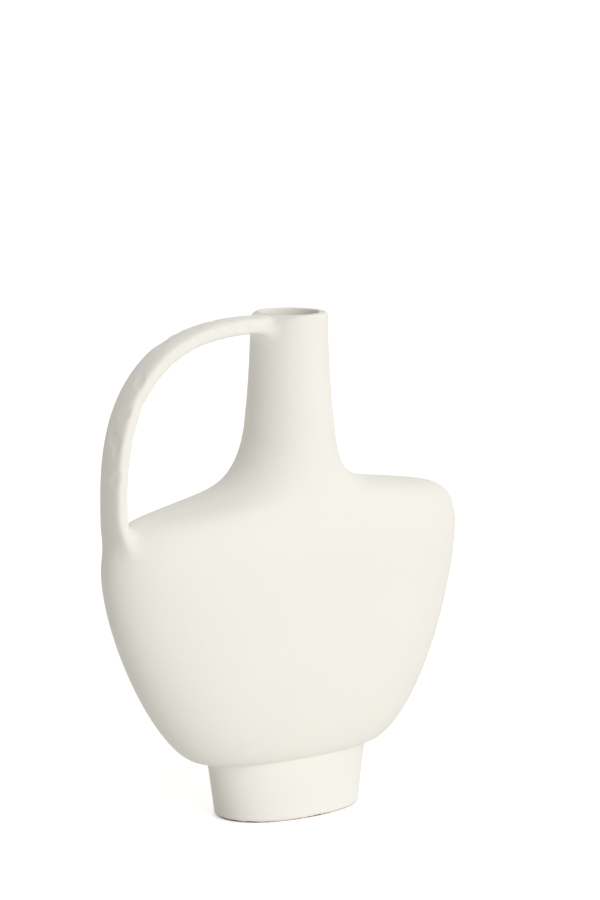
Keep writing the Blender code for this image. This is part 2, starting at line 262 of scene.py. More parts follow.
# %% Slices of the belly
def belly_sections(steps=110):
    start = (FOOT_TOP_HALF_WIDTH, FOOT_HEIGHT)
    knots = (
        start,
        pulled(start, BELLY_START_PULL, BELLY_START_ANGLE),
        (BELLY_HALF_WIDTH, BELLY_HEIGHT - BELLY_END_PULL),
        (BELLY_HALF_WIDTH, BELLY_HEIGHT),
    )
    sections = []
    for step, point in enumerate(curve_points(knots, steps)):
        share = smooth_step(2 * step / steps)
        fullness = mix(0.0, BELLY_FULLNESS, share)
        flatness = mix(FOOT_FLATNESS, BELLY_FLATNESS, share)
        sections.append(Section(point.z, point.x, half_depth_at(point.z), fullness, flatness))
    return sections


belly_rows = belly_sections()
print("slices in the belly:", len(belly_rows))

# %% Slices of the shoulder
def corner_sections(steps=40):
    shoulder = (SHOULDER_HALF_WIDTH, SHOULDER_HEIGHT)
    knots = (
        (BELLY_HALF_WIDTH, BELLY_HEIGHT),
        (BELLY_HALF_WIDTH, BELLY_HEIGHT + SHOULDER_CORNER_RISE),
        pulled(shoulder, SHOULDER_CORNER_RUN, -SHOULDER_SLOPE),
        shoulder,
    )
    sections = []
    for step, point in enumerate(curve_points(knots, steps)):
        left = 1 - smooth_step(step / steps)
        half_depth = half_depth_at(point.z)
        sections.append(
            Section(point.z, point.x, half_depth, BELLY_FULLNESS * left, BELLY_FLATNESS * left)
        )
    return sections


def root_sections(shoulder_steps=40, root_steps=28):
    """The shoulder's top sweeping up into the neck, parted where the neck is luted on."""
    shoulder = (SHOULDER_HALF_WIDTH, SHOULDER_HEIGHT)
    knots = (
        shoulder,
        pulled(shoulder, -NECK_ROOT_RUN, -SHOULDER_SLOPE),
        (NECK_RADIUS + NECK_ROOT_RISE * neck_taper(), NECK_HEIGHT - NECK_ROOT_RISE),
        (NECK_RADIUS, NECK_HEIGHT),
    )
    seat = share_where(knots, 0, NECK_ROOT_HALF_WIDTH)
    lists = []
    for steps, first, last in ((shoulder_steps, 0.0, seat), (root_steps, seat, 1.0)):
        points = curve_points(knots, steps, first, last)
        lists.append([Section(p.z, p.x, half_depth_at(p.z)) for p in points])
    return lists


corner_rows = corner_sections()
shoulder_rows, root_rows = root_sections()
print("slices in corner, shoulder and root:", len(corner_rows), len(shoulder_rows), len(root_rows))

# %% Slices of the neck and the lip
def neck_sections(steps=60):
    sections = []
    top = TOTAL_HEIGHT - LIP_OUTER_EDGE
    for step in range(steps + 1):
        share = step / steps
        radius = mix(NECK_RADIUS, LIP_RADIUS, share) - NECK_WAIST * 4 * share * (1 - share)
        sections.append(Section(mix(NECK_HEIGHT, top, share), radius, radius))
    return sections


def lip_sections(outer_steps=9, inner_steps=6):
    """Over the flat lip to the bore, with both of its edges rounded."""
    profile = []
    for step in range(1, outer_steps + 1):
        turn = math.pi / 2 * step / outer_steps
        inset = LIP_OUTER_EDGE * (1 - math.cos(turn))
        profile.append((inset, LIP_OUTER_EDGE * (1 - math.sin(turn))))
    for step in range(inner_steps):
        turn = math.pi / 2 * step / inner_steps
        inset = NECK_WALL - LIP_INNER_EDGE * (1 - math.sin(turn))
        profile.append((inset, LIP_INNER_EDGE * (1 - math.cos(turn))))
    return [
        Section(TOTAL_HEIGHT - drop, LIP_RADIUS - inset, LIP_RADIUS - inset)
        for inset, drop in profile
    ]


neck_rows = neck_sections()
lip_rows = lip_sections()
print("slices in the neck:", len(neck_rows), "in the lip:", len(lip_rows))

# %% Sponge the crease between foot and belly
def sponged(sections, middle, reach, rounds):
    """The sections, with those within reach rows of the middle one drawn to their neighbours."""
    for _ in range(rounds):
        before = list(sections)
        for index in range(middle - reach, middle + reach + 1):
            neighbours = blended_section(before[index - 1], before[index + 1], 0.5)
            sections[index] = blended_section(before[index], neighbours, 0.5)
    return sections


crease_row = len(foot_rows) - 1
outside = foot_rows[:-1] + belly_rows[:-1] + corner_rows[:-1] + shoulder_rows[:-1]
seat_row = len(outside)
outside += root_rows[:-1] + neck_rows
outside = sponged(outside, crease_row, reach=10, rounds=14)
lip_row = len(outside)
outside += lip_rows
print("slices outside:", len(outside))

# %% Move the form in by the wall's thickness
def narrowed(section, wall):
    return section._replace(
        half_width=section.half_width - wall, half_depth=section.half_depth - wall
    )


def wall_at(height):
    share = smooth_step((height - SHOULDER_HEIGHT) / (NECK_HEIGHT - SHOULDER_HEIGHT))
    return mix(BODY_WALL, NECK_WALL, share)


def either_side(items, index):
    """The items before and after this one, or the item itself at an end of the list."""
    return items[max(index - 1, 0)], items[min(index + 1, len(items) - 1)]


def moved_in(sections):
    """The same form moved square to its outline by the wall's thickness at each height."""
    moved = []
    for index, section in enumerate(sections):
        before, after = either_side(sections, index)
        across = after.half_width - before.half_width
        up = after.height - before.height
        length = math.hypot(across, up)
        wall = wall_at(section.height)
        moved.append(
            section._replace(
                height=section.height + wall * across / length,
                half_width=section.half_width - wall * up / length,
                half_depth=section.half_depth - wall,
            )
        )
    return moved


shell = moved_in(outside[crease_row:lip_row])
print("wall at the belly and the neck in mm:", [round(w * 1000, 1) for w in (BODY_WALL, NECK_WALL)])

# %% Slices of the inside
FLOOR_HEIGHT = FOOT_HEIGHT + BODY_WALL
INSIDE_STRIDE = 3  # the inside takes every third slice, because the dark bore hides its facets
FOOT_MIDDLE_ROW = 16

body_shell, neck_shell = shell[: seat_row - crease_row], shell[seat_row - crease_row :]
body_inside = [section for section in body_shell if section.height > FLOOR_HEIGHT][::INSIDE_STRIDE]
neck_inside = neck_shell[::INSIDE_STRIDE]
foot_bottom, foot_middle, foot_top = (
    narrowed(foot_rows[row], FOOT_WALL) for row in (0, FOOT_MIDDLE_ROW, -1)
)

rows = [(section, "foot") for section in outside[: crease_row + 1]]
rows += [(section, "body") for section in outside[crease_row + 1 : seat_row + 1]]
rows += [(section, "neck") for section in outside[seat_row + 1 :]]
outside_count = len(rows)
rows += [(section, "neck") for section in reversed(neck_inside)]
rows += [(section, "body") for section in reversed(body_inside)]
rows += [(foot_top._replace(height=FLOOR_HEIGHT), "body"), (foot_top, "body")]
rows += [(foot_middle, "foot"), (foot_bottom, "foot"), (outside[0], "foot")]
print("slices in all:", len(rows))

# %% [markdown]
# ## Raising the wall
#
# The wall could be a spun profile, but a spin makes circles, and this vase is flat. So a circle
# of points is extruded once for each slice and laid on that slice's oval, as a potter lays one
# coil on another. The last slice meets the first, and the doubles are merged, which closes the
# wall. The body's slices sit a little to the side and rise a little towards one shoulder, which
# is what makes the vase look made by hand and not by a lathe.

# %% Lay a point on a slice
def oval(turn, half_width, half_depth, fullness, flatness):
    """A point on an ellipse whose ends are made fuller and whose faces are made flatter."""
    cosine, sine = math.cos(turn), math.sin(turn)
    x = half_width * cosine * (1 + fullness * sine * sine)
    y = half_depth * sine * (1 + flatness * cosine * cosine)
    return x, y


def ring_point(section, turn):
    height = section.height
    body_share = smooth_step((height - FOOT_HEIGHT) / (BELLY_HEIGHT - FOOT_HEIGHT))
    body_share *= 1 - smooth_step((height - SHOULDER_HEIGHT) / (NECK_HEIGHT - SHOULDER_HEIGHT))
    neck_share = smooth_step((height - BELLY_HEIGHT) / (NECK_HEIGHT - BELLY_HEIGHT))
    shift = BELLY_OFFSET * body_share + NECK_OFFSET * neck_share
    x, y = oval(turn, section.half_width, section.half_depth, section.fullness, section.flatness)
    return Vector((x + shift, y, height + SHOULDER_LIFT * x * body_share))


widest = ring_point(Section(BELLY_HEIGHT, BELLY_HALF_WIDTH, BELLY_HALF_DEPTH), 0.0)
print("the belly's far end in mm:", [round(c * 1000, 1) for c in widest])

# %% Extrude the ring through the slices
def new_ring(mesh, edges):
    """Extrudes a ring of edges and gives back the new ring's points, edges and faces."""
    grown = bmesh.ops.extrude_edge_only(mesh, edges=edges)["geom"]
    points = [item for item in grown if isinstance(item, bmesh.types.BMVert)]
    faces = [item for item in grown if isinstance(item, bmesh.types.BMFace)]
    known = set(points)
    linked = {edge for point in points for edge in point.link_edges}
    ring = [edge for edge in linked if all(end in known for end in edge.verts)]
    return points, ring, faces


def start_ring(mesh, count):
    """A circle of points, each of which keeps its own turn for all the rings to come."""
    turn = mesh.verts.layers.float.new("turn")
    points = bmesh.ops.create_circle(mesh, segments=count, radius=1.0)["verts"]
    for point in points:
        point[turn] = math.atan2(point.co.y, point.co.x)
    return points, list(mesh.edges), turn


# %% Raise the wall
RING_POINTS = 256
MERGE_DISTANCE = 1e-7


def raised_wall(rows):
    wall = bmesh.new()
    row_of = wall.faces.layers.int.new("row")
    points, edges, turn = start_ring(wall, RING_POINTS)
    first = points
    for number, (section, _) in enumerate(rows):
        if number > 0:
            points, edges, faces = new_ring(wall, edges)
            for face in faces:
                face[row_of] = number
        for point in points:
            point.co = ring_point(section, point[turn])
    bmesh.ops.remove_doubles(wall, verts=first + points, dist=MERGE_DISTANCE)
    bmesh.ops.recalc_face_normals(wall, faces=wall.faces)
    return wall


wall = raised_wall(rows)
open_edges = sum(edge.is_boundary for edge in wall.edges)
print("points in the wall:", len(wall.verts), "open edges:", open_edges)

# %% [markdown]
# ## The waver of the hand
#
# A pressed and sponged wall is never quite even. Two slow noises, one as wide as a palm and one
# as wide as a thumb, press the wall in by up to a third of a millimetre. They only press in, so
# the vase stays within its packed size, and they fade at the foot, which is rubbed flat.

# %% Press the wall by hand
PALM_WIDTH = 0.060
THUMB_WIDTH = 0.018
PALM_DEPTH = 0.00030
THUMB_DEPTH = 0.00006
RUBBED_FLAT = 0.006


def hand_press(place):
    palm = (1 - noise.noise(place / PALM_WIDTH)) / 2
    thumb = (1 - noise.noise(place / THUMB_WIDTH)) / 2
    return (PALM_DEPTH * palm + THUMB_DEPTH * thumb) * smooth_step(place.z / RUBBED_FLAT)


wall.normal_update()
presses = [hand_press(point.co) for point in wall.verts]
for point, press in zip(wall.verts, presses):
    point.co -= point.normal * press
print("deepest press in mm:", round(max(presses) * 1000, 2))

# %% [markdown]
# ## The lip smeared down to the strap
#
# Where the strap joins the neck, a thumb has smeared the lip's edge down on to it, so the lip
# dips there. A cut with a tilted plane would leave a hard edge. So each point near the lip is
# moved down by an amount that fades to both sides, towards the bore and below.

# %% Bevel the lip down to the strap
LIP_BEVEL = 0.0032
LIP_BEVEL_DEPTH = 0.0100  # how far below the lip the bevel is felt
LIP_BEVEL_INNER_TURN = math.radians(30.0)
LIP_BEVEL_OUTER_TURN = math.radians(75.0)


def lip_bevel(place):
    """How far the lip is smeared down towards the strap, from its inner edge outwards."""
    outward = Vector((place.x - NECK_OFFSET, place.y))
    turn = outward.angle(Vector((-1.0, 0.0)))
    fade = LIP_BEVEL_OUTER_TURN - LIP_BEVEL_INNER_TURN
    near = smooth_step((LIP_BEVEL_OUTER_TURN - turn) / fade)
    across = smooth_step((outward.length - LIP_RADIUS + NECK_WALL) / NECK_WALL)
    high = smooth_step((place.z - TOTAL_HEIGHT + LIP_BEVEL_DEPTH) / LIP_BEVEL_DEPTH)
    return LIP_BEVEL * near * across * high


lip_points = [point for point in wall.verts if point.co.z > TOTAL_HEIGHT - LIP_BEVEL_DEPTH]
for point in lip_points:
    point.co.z -= lip_bevel(point.co)
print("lip's highest point in mm:", round(max(point.co.z for point in lip_points) * 1000, 2))

# %% [markdown]
# ## The strap
#
# The handle is a strap pulled from a lump of clay and bent over while soft. Its section is a
# rectangle with round corners, rounder on the outer face, and it grows thinner and a little wider
# towards its foot. A curve with a bevel could make it, but then the corners could not waver. So a
# ring of points is laid round each point of the strap's middle line, and noise like the wall's
# presses the points in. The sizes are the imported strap's with about half a millimetre added to
# its thickness, which the presses take off again. The soft edge between its front and its outer
# face wanders, and shallow dents show where fingers smoothed it.

# %% Sizes of the strap handle
HANDLE_TOP_THICKNESS = 0.0107
HANDLE_TOP_WIDTH = 0.0194
HANDLE_FOOT_THICKNESS = 0.0088
HANDLE_FOOT_WIDTH = 0.0208
HANDLE_DROP = 0.0058
HANDLE_TOP_ANGLE = 1.6
HANDLE_TOP_PULL = 0.0507
HANDLE_REACH = 0.1270
HANDLE_REACH_HEIGHT = 0.1988
HANDLE_RISE_PULL = 0.0912
HANDLE_FALL_PULL = 0.0291
HANDLE_FOOT_REACH = 0.1108
HANDLE_FOOT_HEIGHT = 0.1571
HANDLE_FOOT_ANGLE = 53.0
HANDLE_FOOT_PULL = 0.0137
HANDLE_SQUARENESS = 0.40
HANDLE_OUTER_SQUARENESS = 0.10
HANDLE_SPREAD = 0.0095
HANDLE_SPREAD_LENGTH = 0.0380
HANDLE_SPREAD_POWER = 1.3
print("strap's top in mm:", [round(s * 1000, 1) for s in (HANDLE_TOP_THICKNESS, HANDLE_TOP_WIDTH)])

# %% The strap's middle line
STRAP_START = 0.0050  # how deep in the neck's wall the strap begins


def strap_line(rise_steps=170, fall_steps=60):
    start = (NECK_OFFSET - LIP_RADIUS + STRAP_START, TOTAL_HEIGHT - HANDLE_DROP)
    outermost = (-HANDLE_REACH, HANDLE_REACH_HEIGHT)
    end = (-HANDLE_FOOT_REACH, HANDLE_FOOT_HEIGHT)
    rise = (
        start,
        pulled(start, -HANDLE_TOP_PULL, -HANDLE_TOP_ANGLE),
        (outermost[0], outermost[1] + HANDLE_RISE_PULL),
        outermost,
    )
    fall = (
        outermost,
        (outermost[0], outermost[1] - HANDLE_FALL_PULL),
        pulled(end, -HANDLE_FOOT_PULL, -HANDLE_FOOT_ANGLE),
        end,
    )
    return curve_points(rise, rise_steps)[:-1] + curve_points(fall, fall_steps)


def lengths_left(line):
    """How far along the line each of its points is from the end."""
    left = [0.0]
    for after, before in zip(line[::-1], line[-2::-1]):
        left.append(left[-1] + (after - before).length)
    return left[::-1]


middle_line = strap_line()
print("strap's length in mm:", round(lengths_left(middle_line)[0] * 1000, 1))

# %% Press the strap with the fingers
STRAP_WAVER = 0.0005
STRAP_WAVER_LENGTH = 0.020
DENT_DEPTH = 0.00050
DENT_LENGTH = 0.010
DENT_START = 0.10  # where the noise is higher than this a finger has pressed
DENT_RISE = 0.40


def finger_press(place):
    waver = (1 - noise.noise(place / STRAP_WAVER_LENGTH)) / 2
    dent = smooth_step((noise.noise(place / DENT_LENGTH) - DENT_START) / DENT_RISE)
    return STRAP_WAVER * waver + DENT_DEPTH * dent


deepest = max(finger_press(point) for point in middle_line)
print("deepest press along the strap in mm:", round(deepest * 1000, 2))

# %% Pull the strap
STRAP_POINTS = 96


def strap_ring(middle, direction, share, left):
    """The ring round one point of the strap's line, before the fingers press it."""
    inward = Vector((-direction.z, 0.0, direction.x))
    thickness = mix(HANDLE_TOP_THICKNESS, HANDLE_FOOT_THICKNESS, share)
    spread = max(1 - left / HANDLE_SPREAD_LENGTH, 0.0)
    half_width = mix(HANDLE_TOP_WIDTH, HANDLE_FOOT_WIDTH, share) / 2
    half_width += HANDLE_SPREAD * spread**HANDLE_SPREAD_POWER
    square = HANDLE_SQUARENESS * (1 - spread)
    ring = []
    for step in range(STRAP_POINTS):
        turn = 2 * math.pi * step / STRAP_POINTS
        fullness = square if math.cos(turn) > 0 else HANDLE_OUTER_SQUARENESS
        across, side = oval(turn, thickness / 2, half_width, fullness, square)
        ring.append(middle + inward * across + Vector((0.0, side, 0.0)))
    return ring


def ways_out(rings):
    """For each point of the rings, the direction square to the skin round it."""
    ways = []
    for index, ring in enumerate(rings):
        before, after = either_side(rings, index)
        row = []
        for k in range(STRAP_POINTS):
            around = ring[(k + 1) % STRAP_POINTS] - ring[k - 1]
            row.append(around.cross(after[k] - before[k]).normalized())
        ways.append(row)
    return ways


def strap_rings(line):
    """The strap's rings of points from neck to body, and each point's way out of the strap."""
    rings = []
    for index, left in enumerate(lengths_left(line)):
        before, after = either_side(line, index)
        direction = (after - before).normalized()
        rings.append(strap_ring(line[index], direction, index / (len(line) - 1), left))
    ways = ways_out(rings)
    if ways[0][0].dot(rings[0][0] - line[0]) < 0:
        ways = [[-way for way in row] for row in ways]
    pressed = [
        [point - way * finger_press(point) for point, way in zip(ring, row)]
        for ring, row in zip(rings, ways)
    ]
    return pressed, ways


strap_points, strap_ways = strap_rings(middle_line)
print("rings along the strap:", len(strap_points))

# %% [markdown]
# ## Luting the strap on
#
# Where a potter lutes two clay parts, a roll of soft clay is worked into the corner between them
# and smeared out on both. Each line along the strap is followed to the point where it meets the
# wall. It leaves the strap a little before that point and lands on the wall a little beyond it,
# along a Bezier curve that is tangent to both, so the roll shows no edge. A smooth union of two
# distance fields would blend the skins as well, but it leaves hairline cracks where they cross.

# %% Distances to the wall's skin
BORE_ROWS = 6  # how many rows of the bore the rolls may touch
SKIN_REACH = 0.08
TOUCHING = 1e-6


def skin_tree(mesh, last_row):
    copy = mesh.copy()
    row_of = copy.faces.layers.int["row"]
    drop = [face for face in copy.faces if face[row_of] > last_row]
    bmesh.ops.delete(copy, geom=drop, context="FACES")
    bmesh.ops.triangulate(copy, faces=copy.faces)
    tree = BVHTree.FromBMesh(copy)
    copy.free()
    return tree


def distance_to(tree, place):
    """The signed distance to a skin, positive outside it, and the way out from it."""
    nearest, normal, _, distance = tree.find_nearest(place, SKIN_REACH)
    if nearest is None:
        return SKIN_REACH, Vector((0.0, 0.0, 1.0))
    away = place - nearest
    if away.dot(normal) < 0:
        distance = -distance
    if abs(distance) < TOUCHING:
        return distance, normal
    return distance, away / distance


def laid_at(tree, place, depth, rounds=3):
    """The place moved to this depth under the skin."""
    for _ in range(rounds):
        distance, way = distance_to(tree, place)
        place = place - way * (distance + depth)
    return place


wall_skin = skin_tree(wall, last_row=outside_count + BORE_ROWS)
from_skin, _ = distance_to(wall_skin, middle_line[0])
print("strap's start from the neck's skin in mm:", round(from_skin * 1000, 2))

# %% Where each line of the strap meets the wall
def along(line, lengths, way):
    """The point of a line at this distance from its start, and the line's direction there."""
    index = int(np.searchsorted(lengths, way)) - 1
    index = min(max(index, 0), len(line) - 2)
    share = (way - lengths[index]) / (lengths[index + 1] - lengths[index])
    return line[index].lerp(line[index + 1], share), (line[index + 1] - line[index]).normalized()


def meeting_point(line, lengths, indices):
    """How far along a line, followed by these indices from outside, it meets the wall."""
    before = None
    for index in indices:
        distance, _ = distance_to(wall_skin, line[index])
        if distance < 0:
            outside_index, outside_distance = before
            share = outside_distance / (outside_distance - distance)
            return mix(lengths[outside_index], lengths[index], share), index
        before = index, distance
    raise ValueError("a line of the strap doesn't meet the wall")


# %% Where each roll of clay begins and ends
LUTE_SIDE = 0.0100  # the roll's size at the sides of the strap
LUTE_CROTCH = 0.0095  # its size in the crotch, under the strap
LUTE_LIP = 0.0026  # its size next to the lip
LUTE_LIP_REACH = 0.0090  # how far below the lip it grows to its full size
LUTE_SMOOTHING = 40


def roll_ends(lines, indices, ways, heading):
    """For each line: the distance where its roll leaves it, its corner and where the roll lands."""
    leaves, corners, landings = [], [], []
    for k, (line, lengths) in enumerate(lines):
        met, index = meeting_point(line, lengths, indices)
        corner, direction = along(line, lengths, met)
        _, normal = distance_to(wall_skin, line[index])
        spreading = ways[index][k] + direction * heading
        spreading = (spreading - normal * spreading.dot(normal)).normalized()
        inner = max(math.cos(2 * math.pi * k / STRAP_POINTS), 0.0)
        size = mix(LUTE_SIDE, LUTE_CROTCH, inner**2)
        size = mix(LUTE_LIP, size, smooth_step((TOTAL_HEIGHT - corner.z) / LUTE_LIP_REACH))
        leaves.append(met - heading * size)
        corners.append(corner)
        landings.append(corner + spreading * size)
    return smoothed(leaves), smoothed(corners), smoothed(landings)


def smoothed(values):
    """Values round a ring, each drawn towards the mean of its neighbours again and again."""
    count = len(values)
    for _ in range(LUTE_SMOOTHING):
        values = [
            (values[k - 1] + values[k] * 2 + values[(k + 1) % count]) / 4 for k in range(count)
        ]
    return values


# %% Work the roll of clay into each line
LUTE_STEPS = 16
LUTE_FULLNESS = 0.42  # how far its curve is pulled at both ends, as a share of its length
LUTE_TUCK = 0.0010  # how far its edge is tucked in beyond where it lands
LUTE_SINK = 0.00003  # how deep it lies in the wall where it lands
TUCK_SINK = 5 * LUTE_SINK
LUTE_DEPTH = 0.0018  # how deep in the wall the strap's hidden ends lie
STRAP_RINGS = 210


def worked_roll(line, lengths, leave, corner, landing, heading):
    """Points from the strap over the roll and on to the wall."""
    start, direction = along(line, lengths, leave)
    landed = laid_at(wall_skin, landing, LUTE_SINK)
    _, normal = distance_to(wall_skin, laid_at(wall_skin, landed, LUTE_DEPTH / 2))
    outward = landed - corner
    outward = (outward - normal * outward.dot(normal)).normalized()
    reach = (landed - start).length * LUTE_FULLNESS
    knots = (start, start + direction * heading * reach, landed - outward * reach, landed)
    points = []
    for step in range(LUTE_STEPS + 1):
        weights = curve_weights(step / LUTE_STEPS)
        points.append(sum((knot * weight for knot, weight in zip(knots, weights)), Vector()))
    points.append(laid_at(wall_skin, landed + outward * LUTE_TUCK, TUCK_SINK))
    return points


def luted_lines():
    """Each line of the strap from where it lands on the neck to where it lands on the body."""
    lines = []
    for k in range(STRAP_POINTS):
        line = [ring[k] for ring in strap_points]
        lines.append((line, np.cumsum([0.0] + [(b - a).length for a, b in zip(line, line[1:])])))
    middle = len(strap_points) // 2
    top = roll_ends(lines, range(middle, -1, -1), strap_ways, -1)
    foot = roll_ends(lines, range(middle, len(strap_points)), strap_ways, 1)
    luted = []
    for k, (line, lengths) in enumerate(lines):
        top_roll = worked_roll(line, lengths, *(ends[k] for ends in top), -1)
        foot_roll = worked_roll(line, lengths, *(ends[k] for ends in foot), 1)
        shares = [step / STRAP_RINGS for step in range(1, STRAP_RINGS)]
        stretch = [along(line, lengths, mix(top[0][k], foot[0][k], share))[0] for share in shares]
        luted.append(top_roll[::-1] + stretch + foot_roll)
    return luted


strap_lines = luted_lines()
print("lines along the strap:", len(strap_lines), "with", len(strap_lines[0]), "points each")

# %% Close the strap's ends inside the wall
END_SHARES = (0.15, 0.4, 0.65)  # how far towards the end's centre each ring is drawn


def hidden_end(ring):
    """Rings that draw an end together inside the wall, under what the roll covers."""
    centre = sum(ring, Vector()) / len(ring)
    return [
        [laid_at(wall_skin, point.lerp(centre, share), LUTE_DEPTH) for point in ring]
        for share in END_SHARES
    ]


# %% Lay the strap's skin
def strap_skin(lines):
    rings = [[line[index] for line in lines] for index in range(len(lines[0]))]
    rings = hidden_end(rings[0])[::-1] + rings + hidden_end(rings[-1])
    strap = bmesh.new()
    points, edges, turn = start_ring(strap, STRAP_POINTS)
    first = edges
    for index, ring in enumerate(rings):
        if index > 0:
            points, edges, _ = new_ring(strap, edges)
        for point in points:
            point.co = ring[round(point[turn] / (2 * math.pi) * STRAP_POINTS) % STRAP_POINTS]
    bmesh.ops.holes_fill(strap, edges=first + edges)
    bmesh.ops.recalc_face_normals(strap, faces=strap.faces)
    return strap


strap = strap_skin(strap_lines)
open_edges = sum(edge.is_boundary for edge in strap.edges)
print("points in the strap:", len(strap.verts), "open edges:", open_edges)

# %% [markdown]
# ## Parting the wall into its clay parts
#
# The finished wall is one smooth skin, as the fired vase is, but the parts stay parts. Each one
# could be raised from its own slices, but then its shading would break off at the joints. So each
# is a copy of the wall with the other parts' faces taken away, and its open rims are closed with
# joint faces inside the clay. Two plane cuts part the body into its four slabs. The parts keep
# the whole wall's normals, so no joint shows in the light.

# %% Keep the whole wall's normals
wall.normal_update()
kept_normal = wall.verts.layers.float_vector.new("kept_normal")
for point in wall.verts:
    point[kept_normal] = point.normal
print("normals kept:", len(wall.verts))

# %% Take a part out of the wall
def taken_out(part):
    """A copy of the wall with only this part's faces."""
    copy = wall.copy()
    row_of = copy.faces.layers.int["row"]
    drop = [face for face in copy.faces if rows[face[row_of]][1] != part]
    bmesh.ops.delete(copy, geom=drop, context="FACES")
    return copy


# %% Close a part's joints
def open_rims(mesh):
    """The rings of open edges, each a list."""
    rim_edges = [edge for edge in mesh.edges if edge.is_boundary]
    rims = []
    while rim_edges:
        ring, frontier = set(), [rim_edges[0]]
        while frontier:
            edge = frontier.pop()
            if edge not in ring:
                ring.add(edge)
                linked = [other for end in edge.verts for other in end.link_edges]
                frontier += [other for other in linked if other.is_boundary]
        rims.append(list(ring))
        rim_edges = [edge for edge in rim_edges if edge not in ring]
    return rims


def close_joints(mesh):
    """Extrudes each outer rim to the inner rim at the same joint and merges the two."""
    turn = mesh.verts.layers.float["turn"]
    rims = open_rims(mesh)
    widths = [max(v.co.x for edge in rim for v in edge.verts) for rim in rims]
    heights = [max(v.co.z for edge in rim for v in edge.verts) for rim in rims]
    order = sorted(range(len(rims)), key=lambda k: heights[k])
    joints = [order[k : k + 2] for k in range(0, len(order), 2)]
    for pair in joints:
        outer, inner = sorted(pair, key=lambda k: -widths[k])
        targets = {round(v[turn], 4): v for edge in rims[inner] for v in edge.verts}
        points, _, _ = new_ring(mesh, rims[outer])
        bmesh.ops.weld_verts(mesh, targetmap={v: targets[round(v[turn], 4)] for v in points})
    bmesh.ops.recalc_face_normals(mesh, faces=mesh.faces)
    return mesh


# %% Turn a part into an object
def put_in_scene(name, data):
    obj = bpy.data.objects.new(name, data)
    bpy.context.scene.collection.objects.link(obj)
    return obj


def mesh_data(name, mesh):
    data = bpy.data.meshes.new(name)
    mesh.to_mesh(data)
    mesh.free()
    return data


def as_object(name, mesh, node):
    """The part as an object at the origin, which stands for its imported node."""
    data = mesh_data(name, mesh)
    data.shade_smooth()
    obj = put_in_scene(name, data)
    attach(obj, "root")
    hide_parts(node)
    print(name, "has", len(data.polygons), "faces")
    return obj


# %% Give a part the wall's normals
SAME_WAY = 0.5  # a face turned further from its kept normals than 60 degrees is a joint


def with_wall_normals(obj):
    """The part with the whole wall's normals on all but its joint faces, which stay flat."""
    data = obj.data
    loops = len(data.loops)
    corner_point = np.empty(loops, np.int32)
    data.loops.foreach_get("vertex_index", corner_point)
    kept = np.empty(len(data.vertices) * 3, np.float32)
    data.attributes["kept_normal"].data.foreach_get("vector", kept)
    normals = kept.reshape(-1, 3)[corner_point]
    for face in data.polygons:
        corners = slice(face.loop_start, face.loop_start + face.loop_total)
        mean = Vector(normals[corners].mean(axis=0))
        if mean.length < SAME_WAY or mean.normalized().dot(face.normal) < SAME_WAY:
            face.use_smooth = False
            normals[corners] = face.normal
    data.normals_split_custom_set([Vector(n) for n in normals])
    return obj


# %% Cut the body along its seams
CUT_TOLERANCE = 1e-6


def cut_away(mesh, place, direction):
    """Keeps what lies beyond a plane and closes the cut."""
    bmesh.ops.bisect_plane(
        mesh,
        geom=[*mesh.verts, *mesh.edges, *mesh.faces],
        dist=CUT_TOLERANCE,
        plane_co=place,
        plane_no=direction,
        clear_inner=True,
    )
    bmesh.ops.holes_fill(mesh, edges=[edge for edge in mesh.edges if edge.is_boundary])


def slab_of(mesh, side, level):
    """The slab in front of or behind the seam, and below or above the shoulder's joint."""
    slab = mesh.copy()
    cut_away(slab, (0.0, 0.0, 0.0), (0.0, side, 0.0))
    cut_away(slab, (0.0, 0.0, SHOULDER_JOINT_HEIGHT), (0.0, 0.0, level))
    bmesh.ops.recalc_face_normals(slab, faces=slab.faces)
    return slab


body = close_joints(taken_out("body"))
print("body before it is cut:", len(body.faces), "faces")

# %% The parts of the wall as objects
foot = close_joints(taken_out("foot"))
foot_collar = with_wall_normals(as_object("foot_collar", foot, "foot_ring"))
body_slabs = [
    with_wall_normals(as_object(name, slab_of(body, side, level), node))
    for name, node, side, level in (
        ("front_belly_slab", "front_shell", -1, -1),
        ("back_belly_slab", "back_shell", 1, -1),
        ("front_shoulder_slab", "front_shoulder", -1, 1),
        ("back_shoulder_slab", "back_shoulder", 1, 1),
    )
]
neck = close_joints(taken_out("neck"))
thrown_neck = with_wall_normals(as_object("thrown_neck", neck, "neck"))
body.free()

# %% The strap as an object
strap_handle = as_object("strap_handle", strap, "handle")

# %% [markdown]
# ## The base slab
#
# The vase stands on the rim of its foot, and the slab inside that rim is cut from rolled clay.
# Its lower face is left bare and lies a hair higher than the rim, so that the vase doesn't rock.
# It could be a cylinder squeezed flat, but the foot isn't quite an ellipse. So its rings are laid
# on the foot's own slices, a little smaller, and extruded upwards.

# %% Roll and cut the base slab
SLAB_RISE = 0.0006
SLAB_EDGE = 0.0012
SLAB_PROFILE = (
    (SLAB_RISE, SLAB_EDGE),
    (SLAB_RISE + SLAB_EDGE / 3, SLAB_EDGE / 3),
    (SLAB_RISE + SLAB_EDGE, 0.0),
    (SLAB_THICKNESS - SLAB_EDGE, 0.0),
    (SLAB_THICKNESS, SLAB_EDGE),
)


